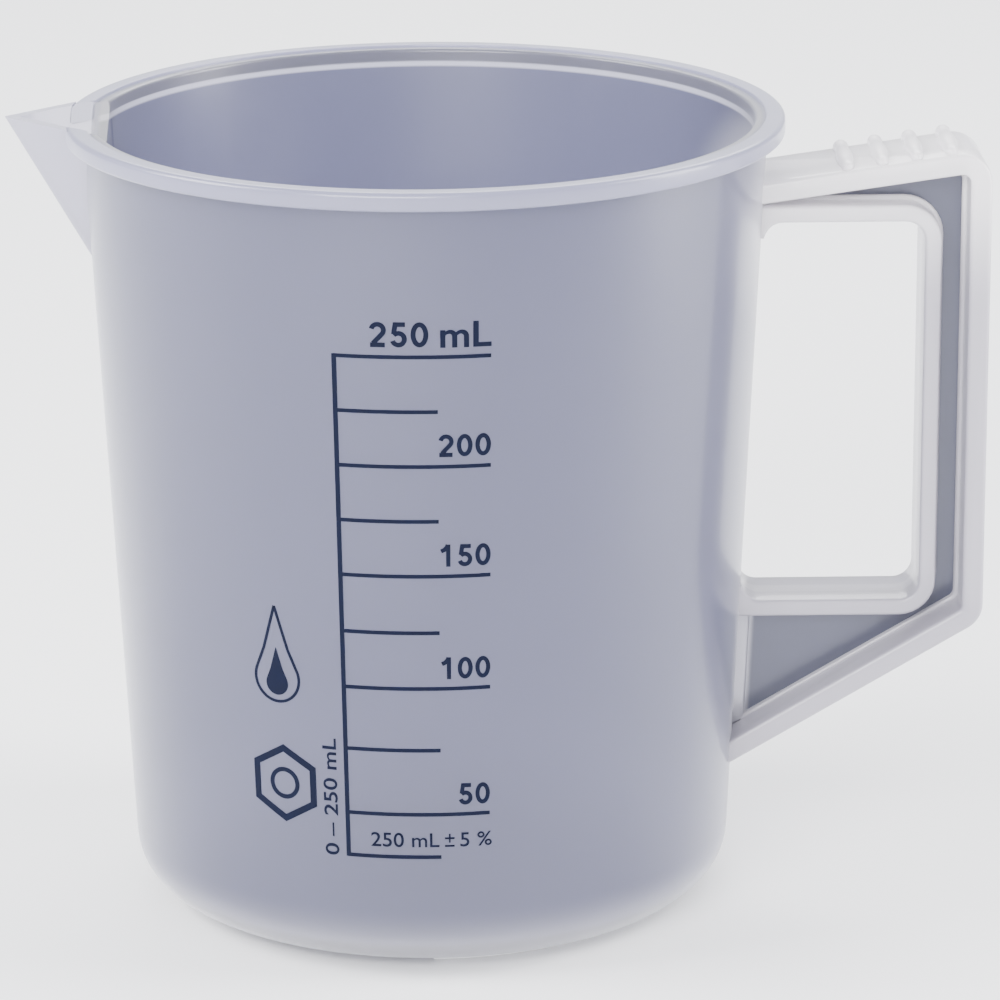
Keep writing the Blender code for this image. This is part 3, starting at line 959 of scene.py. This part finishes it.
note = {
    "letters": 2.35 * mm,
    "bold": 0.015 * mm,
    "stretch": 1.1,
    "past": 0.3 * mm,              # past the right end of the scale's marks
    "height": 15.1 * mm,
    "volumeShift": 6.0 * mm,
    "plusShift": 4.85 * mm,
    "plusHeight": 16.1 * mm,
    "plusHalf": 0.55 * mm,
    "plusRise": 0.52 * mm,
    "plusLine": 0.2 * mm,
    "plusStem": 0.19 * mm,
    "minusDrop": 0.9 * mm,
    "rangeLetters": 2.3 * mm,
    "rangeBold": 0.02 * mm,
    "rangeStretch": 1.3,
    "rangeAside": 0.9 * mm,
    "rangeHeight": 13.6 * mm,
}
noteRight = scaleRight + note["past"]
plusU, plusV = noteRight - note["plusShift"], note["plusHeight"]
bm = bmesh.new()
for words, shift in (("5 %", 0.0), ("250 mL", note["volumeShift"])):
    flatText(bm, words, note["letters"], noteRight - shift, note["height"], weight=note["bold"],
             stretch=note["stretch"])
for v in (plusV - note["minusDrop"], plusV):
    flatStroke(bm, [(plusU - note["plusHalf"], v), (plusU + note["plusHalf"], v)],
               note["plusLine"])
flatStroke(bm, [(plusU, plusV - note["plusRise"]), (plusU, plusV + note["plusRise"])],
           note["plusStem"])
flatText(bm, "0 – 250 mL", note["rangeLetters"], scaleLeft - note["rangeAside"],
         note["rangeHeight"], align="LEFT", turn=math.pi / 2, weight=note["rangeBold"],
         stretch=note["rangeStretch"])
notes = wrapPrint("printedNotes", bm)
dress(notes, navyInk, "scale_ink")

sign = {
    "drop": (-17.6 * mm, 33.6 * mm),
    "dropRadius": 2.7 * mm,
    "dropHeight": 11.0 * mm,
    "bowl": (160, 220, 28),        # where the drop's round part starts, its turn and its steps
    "flankAside": 0.55,            # both as parts of the drop's radius
    "flankUp": 1.25,
    "innerSize": 0.5,
    "innerDown": 0.6 * mm,
    "hexagon": (-17.2 * mm, 21.4 * mm),
    "hexagonRadius": 4.1 * mm,
    "hexagonTurn": 30,
    "ringRadius": 1.6 * mm,
    "ring": 0.5 * mm,
    "thin": 0.32 * mm,
    "thick": 0.75 * mm,
}


def dropShape(size):
    # round below, drawn out to a point above: its tip, its two flanks and its bowl
    u, v = sign["drop"]
    radius = sign["dropRadius"] * size
    tip = (u, v + (sign["dropHeight"] - sign["dropRadius"]) * size)
    flanks = [(u + side * radius * sign["flankAside"], v + radius * sign["flankUp"])
              for side in (-1, 1)]
    return tip, flanks, ellipse(u, v, radius, radius, *sign["bowl"])


bm = bmesh.new()
tip, flanks, bowl = dropShape(1.0)
flatStroke(bm, [flanks[0]] + bowl + [flanks[1]], sign["thin"])
for flank in flanks:
    flatStroke(bm, [flank, tip], sign["thin"])
tip, flanks, bowl = dropShape(sign["innerSize"])
bm.faces.new([bm.verts.new((pu, pv - sign["innerDown"], 0))
              for pu, pv in [tip, flanks[0]] + bowl + [flanks[1]]])
u, v = sign["hexagon"]
flatStroke(bm, ellipse(u, v, sign["hexagonRadius"], sign["hexagonRadius"], sign["hexagonTurn"],
                       steps=6), sign["thick"])
flatStroke(bm, ellipse(u, v, sign["ringRadius"], sign["ringRadius"]), sign["ring"])
signs = wrapPrint("printedSigns", bm)
dress(signs, navyInk, "scale_ink")
print("scale printed")

# floor, light and camera

studio = {
    "floorHalf": 3.0,
    "floorDrop": 0.02 * mm,        # under the feet, so that no faces touch
    "floorTone": (0.93, 0.93, 0.94),
    "floorRough": 0.7,
    "sky": (0.93, 0.95, 1.0),
    "skyStrength": 1.35,
}
bm = bmesh.new()
bmesh.ops.create_grid(bm, x_segments=4, y_segments=4, size=studio["floorHalf"])
bmesh.ops.translate(bm, verts=bm.verts, vec=(0, 0, footLow.z - studio["floorDrop"]))
floor = makeObject("studioFloor", bm)
floorMaterial = plainShader("pale floor", {"Base Color": (*studio["floorTone"], 1),
                                           "Roughness": studio["floorRough"]})[0]
floor.data.materials.append(floorMaterial)

world = bpy.data.worlds.new("studio")
bpy.context.scene.world = world
world.use_nodes = True
sky = world.node_tree.nodes["Background"]
sky.inputs["Color"].default_value = (*studio["sky"], 1)
sky.inputs["Strength"].default_value = studio["skyStrength"]

lamps = [
    {"name": "left box", "at": (-0.72, -0.10, 0.55), "size": (0.45, 0.50), "power": 14.0},
    {"name": "right box", "at": (0.75, -0.05, 0.35), "size": (0.35, 0.75), "power": 14.0},
    {"name": "front box", "at": (-0.25, -0.85, 0.45), "size": (0.6, 0.4), "power": 15.0},
    {"name": "back top", "at": (0.15, 0.75, 0.65), "size": (0.9, 0.4), "power": 8.0},
]
aim = Vector((axisX, 0, rimTop / 2))
for lamp in lamps:
    data = bpy.data.lights.new(lamp["name"], "AREA")
    data.shape = "RECTANGLE"
    data.size, data.size_y = lamp["size"]
    data.energy = lamp["power"]
    light = bpy.data.objects.new(lamp["name"], data)
    light.location = lamp["at"]
    light.rotation_euler = (aim - Vector(lamp["at"])).to_track_quat("-Z", "Y").to_euler()
    bpy.context.collection.objects.link(light)

view = {
    "away": 527.5 * mm,            # from the vessel's axis, square to the plane of the handle
    "height": 203.9 * mm,
    "aimAside": 8.08 * mm,
    "aimHeight": 45.1 * mm,
    "lens": 174.3,
    "sensor": 36.0,
    "roll": -0.006,
}
cameraData = bpy.data.cameras.new("camera")
cameraData.lens = view["lens"]
cameraData.sensor_width = view["sensor"]
camera = bpy.data.objects.new("camera", cameraData)
camera.location = (axisX, -view["away"], view["height"])
sight = Vector((axisX + view["aimAside"], 0, view["aimHeight"])) - camera.location
turned = sight.to_track_quat("-Z", "Y").to_matrix() @ Matrix.Rotation(view["roll"], 3, "Z")
camera.rotation_euler = turned.to_euler()
bpy.context.collection.objects.link(camera)
bpy.context.scene.camera = camera

for cutter in (channel, envelope):
    drop(cutter)
print("scene ready")
